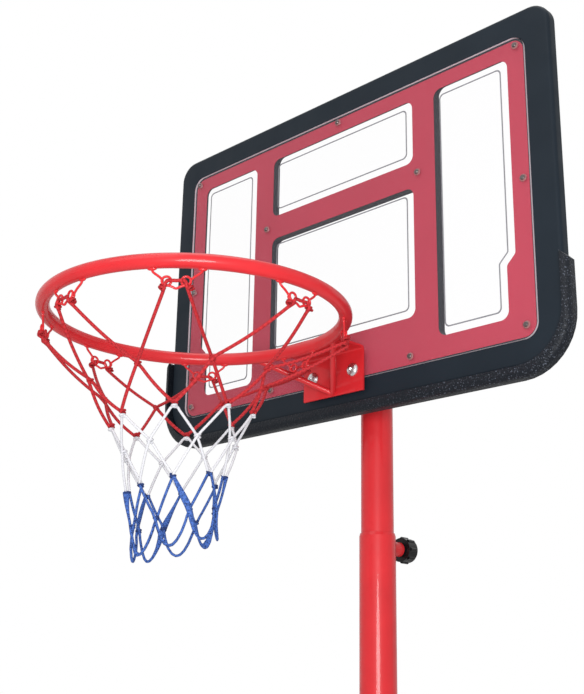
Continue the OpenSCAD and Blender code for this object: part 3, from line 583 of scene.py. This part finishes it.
def braided(name, base, dark, fleck_share, knot_share, relief_and_groove_shade):
    """Braided cord: two sets of slanting strands along the cord with painted shade in the grooves between
    them, dark flecks, and darker knots.
    """
    material, tree = blank_material(name)
    place = add_node(tree, "UVMap", uv_map="along").outputs["UV"]
    along = compute(tree, "MULTIPLY", part_of(tree, place, "X"), STRANDS_PER_METRE)
    around = part_of(tree, place, "Y")
    strands = []
    for way in (-STRANDS_ROUND, STRANDS_ROUND):
        phase = compute(tree, "ADD", along, compute(tree, "MULTIPLY", around, way))
        strands.append(compute(tree, "PINGPONG", phase, 1.0))
    weave = compute(tree, "MAXIMUM", *strands)
    # Painted shade: the grooves between strands are darker and the raised strands lighter, more so with more
    # relief
    raised = spread(tree, weave, low=0.0, high=1.0, start=0.35, end=0.95)
    lit = blend_colour(tree, raised, shade(base, 1 - 0.4 * relief_and_groove_shade), shade(base, 1.06))
    specks = noise(tree, scale=640.0, detail=2.0)
    fleck = spread(tree, specks, low=0.0, high=1.0, start=1 - fleck_share, end=1.04 - fleck_share)
    in_knot = spread(tree, around, low=0.0, high=knot_share, start=KNOT_SHIFT - 0.6, end=KNOT_SHIFT - 0.4)
    show_principled(tree, {
        "Specular IOR Level": 0.15,
        "Base Color": blend_colour(tree, in_knot, blend_colour(tree, fleck, lit, dark), dark),
        "Roughness": spread(tree, weave, low=0.75, high=0.6),
        "Normal": bump(tree, weave, strength=relief_and_groove_shade, distance=0.0005)})
    return material


def loose_sand():
    """Dry sand: grains of several tones."""
    material, tree = blank_material("sand")
    grains = cells(tree, scale=900.0)
    tone = add_node(tree, "SeparateColor", {"Color": grains.outputs["Color"]}).outputs[0]
    show_principled(tree, {
        "Specular IOR Level": 0.2, "Roughness": 0.95,
        "Base Color": blend_colour(tree, tone, colour(0.36, 0.26, 0.15), colour(0.66, 0.54, 0.36)),
        "Normal": bump(tree, grains.outputs["Distance"], strength=0.8, distance=0.0008)})
    return material


SURFACES = {
    "frame_black": dict(base=colour(0.0105, 0.0160, 0.0230), rough=0.50, spec=0.12, patch=9.0),
    "print_red": dict(base=colour(0.41, 0.030, 0.060), rough=0.5, spec=0.2, patch=6.0, change=0.06),
    "print_grey": dict(base=colour(0.20, 0.20, 0.22), rough=0.5, spec=0.2),
    "washer_light": dict(base=colour(0.30, 0.13, 0.13), rough=0.4, patch=90.0),
    "black_paint": dict(base=colour(0.016, 0.016, 0.019), rough=0.38, spec=0.35, patch=20.0),
    "black_plastic": dict(base=colour(0.006, 0.006, 0.007), rough=0.30, spec=0.22, patch=40.0),
    "tank_plastic": dict(base=colour(0.020, 0.023, 0.028), rough=0.48, spec=0.35, depth=0.00008, patch=7.0),
    "wheel_plastic": dict(base=colour(0.022, 0.022, 0.024), rough=0.5, spec=0.35, patch=30.0),
    "seal_rubber": dict(base=colour(0.02, 0.02, 0.02), rough=0.7, spec=0.2, patch=60.0),
}
METALS = {
    "screw_dark": dict(base=colour(0.14, 0.12, 0.12), rough=0.4),
    "zinc": dict(base=colour(0.66, 0.66, 0.67), rough=0.28),
}
BRAIDS = {
    "cord_red": dict(
        base=colour(0.46, 0.024, 0.030), dark=colour(0.20, 0.008, 0.010),
        fleck_share=0.34, knot_share=0.3, relief_and_groove_shade=0.7),
    "cord_white": dict(
        base=colour(0.59, 0.59, 0.62), dark=colour(0.44, 0.435, 0.48),
        fleck_share=0.24, knot_share=0.2, relief_and_groove_shade=0.15),
    "cord_blue": dict(
        base=colour(0.056, 0.130, 0.42), dark=colour(0.012, 0.022, 0.085),
        fleck_share=0.44, knot_share=0.8, relief_and_groove_shade=0.7),
}
MATERIALS = {
    "pad_rubber": pebbled_rubber(),
    "clear_sheet": clear_plastic(),
    "red_paint": red_paint(),
    "sand": loose_sand(),
}
for maker, looks in ((surface, SURFACES), (metal, METALS), (braided, BRAIDS)):
    for slot, look in looks.items():
        MATERIALS[slot] = maker(slot, **look)


# Surfaces of the solids

SHEETS = ("clear_sheet", "red_print", "line_print")
SMOOTHED = ("backboard_frame", "edge_pad", "base_tank") + SHEETS
SMOOTH_ANGLE = math.radians(35)
WELD_GAP = 0.00001
HAIR = 0.00006


def dress(node, slot):
    """Gives a solid its material."""
    mesh = nodes[node].data
    mesh.materials.clear()
    mesh.materials.append(MATERIALS[slot])


def even_shading(node):
    """Shades facets that meet at a small angle as one smooth face."""
    solid = nodes[node]
    weld = solid.modifiers.new("weld", "WELD")
    weld.merge_threshold = WELD_GAP
    split = solid.modifiers.new("split", "EDGE_SPLIT")
    split.split_angle = SMOOTH_ANGLE
    solid.modifiers.new("normals", "WEIGHTED_NORMAL")


def draw_in(node):
    """Draws a solid's surface in by a hair, so that faces that lie on each other stay apart."""
    hair = nodes[node].modifiers.new("hair", "DISPLACE")
    hair.mid_level = 0.0
    hair.strength = -HAIR


for part in frame["record"]["subparts"]:
    dress(part["node"], part["material_slot"])
for node in SMOOTHED:
    even_shading(node)
for node in SHEETS:
    draw_in(node)

hook_wires().make("hook_wires", "red_paint", "net_hooks")
red_cords().make("net_cords_red", "cord_red", "net_red")
white_cords().make("net_cords_white", "cord_white", "net_white")
blue_cords().make("net_cords_blue", "cord_blue", "net_blue")


# Floor, light and camera

FLOOR_REACH = 30.0
# The lights point at about the board's middle
LIGHT_AIM = Vector((0.0, -0.1, 1.75))


def add_floor():
    """A plain pale floor under the base."""
    corners = [(x * FLOOR_REACH, y * FLOOR_REACH, 0) for x, y in ((-1, -1), (1, -1), (1, 1), (-1, 1))]
    mesh = bpy.data.meshes.new("floor")
    mesh.from_pydata(corners, [], [(0, 1, 2, 3)])
    pale = colour(0.86, 0.86, 0.85)
    mesh.materials.append(surface("floor", pale, rough=0.7, spec=0.2, grain=200.0, change=0.01))
    floor = bpy.data.objects.new("floor", mesh)
    bpy.context.scene.collection.objects.link(floor)


def add_light(name, place, size, watts):
    """A large soft light that points at the board."""
    lamp = bpy.data.lights.new(name, "AREA")
    lamp.shape = "DISK"
    lamp.size = size
    lamp.energy = watts
    light = bpy.data.objects.new(name, lamp)
    light.location = place
    light.rotation_euler = (LIGHT_AIM - Vector(place)).to_track_quat("-Z", "Y").to_euler()
    bpy.context.scene.collection.objects.link(light)


def add_overhead(strength, spread_angle):
    """Even light from straight above, which keeps the floor pale."""
    lamp = bpy.data.lights.new("overhead", "SUN")
    lamp.energy = strength
    lamp.angle = spread_angle
    bpy.context.scene.collection.objects.link(bpy.data.objects.new("overhead", lamp))


def add_world(ambient):
    """White for what the camera, reflections and clear pieces see, and a softer level for the fill."""
    world = bpy.data.worlds.new("studio")
    bpy.context.scene.world = world
    world.use_nodes = True
    tree = world.node_tree
    tree.nodes.clear()
    ray = add_node(tree, "LightPath")
    seen = ray.outputs["Is Camera Ray"]
    for kind in ("Is Glossy Ray", "Is Transmission Ray"):
        seen = compute(tree, "MAXIMUM", seen, ray.outputs[kind])
    level = spread(tree, seen, low=ambient, high=1.0, start=0.0, end=1.0)
    sky = add_node(tree, "Background", {"Color": colour(1.0, 1.0, 1.0), "Strength": level})
    add_node(tree, "OutputWorld", {"Surface": sky.outputs[0]})


def add_camera():
    """The photograph's camera: to the front right of the board and below it, looking up."""
    ahead = Vector((
        -math.sin(HEADING) * math.cos(RISE), math.cos(HEADING) * math.cos(RISE), math.sin(RISE)))
    level_right = ahead.cross(UP).normalized()
    level_up = level_right.cross(ahead)
    right = level_right * math.cos(ROLL) + level_up * math.sin(ROLL)
    up = level_up * math.cos(ROLL) - level_right * math.sin(ROLL)
    lens = bpy.data.cameras.new("camera")
    lens.lens = LENS_MM
    camera = bpy.data.objects.new("camera", lens)
    turn = Matrix((right, up, -ahead)).transposed().to_4x4()
    camera.matrix_world = Matrix.Translation(CAMERA_PLACE) @ turn
    bpy.context.scene.collection.objects.link(camera)
    bpy.context.scene.camera = camera


add_floor()
add_light("key", place=(1.20, -1.40, 1.15), size=0.75, watts=28.5)
add_light("fill", place=(0.3, -2.6, 3.8), size=2.6, watts=28)
add_overhead(strength=0.8, spread_angle=math.radians(40))
add_world(ambient=0.36)
add_camera()
bpy.context.scene.view_settings.view_transform = "Standard"
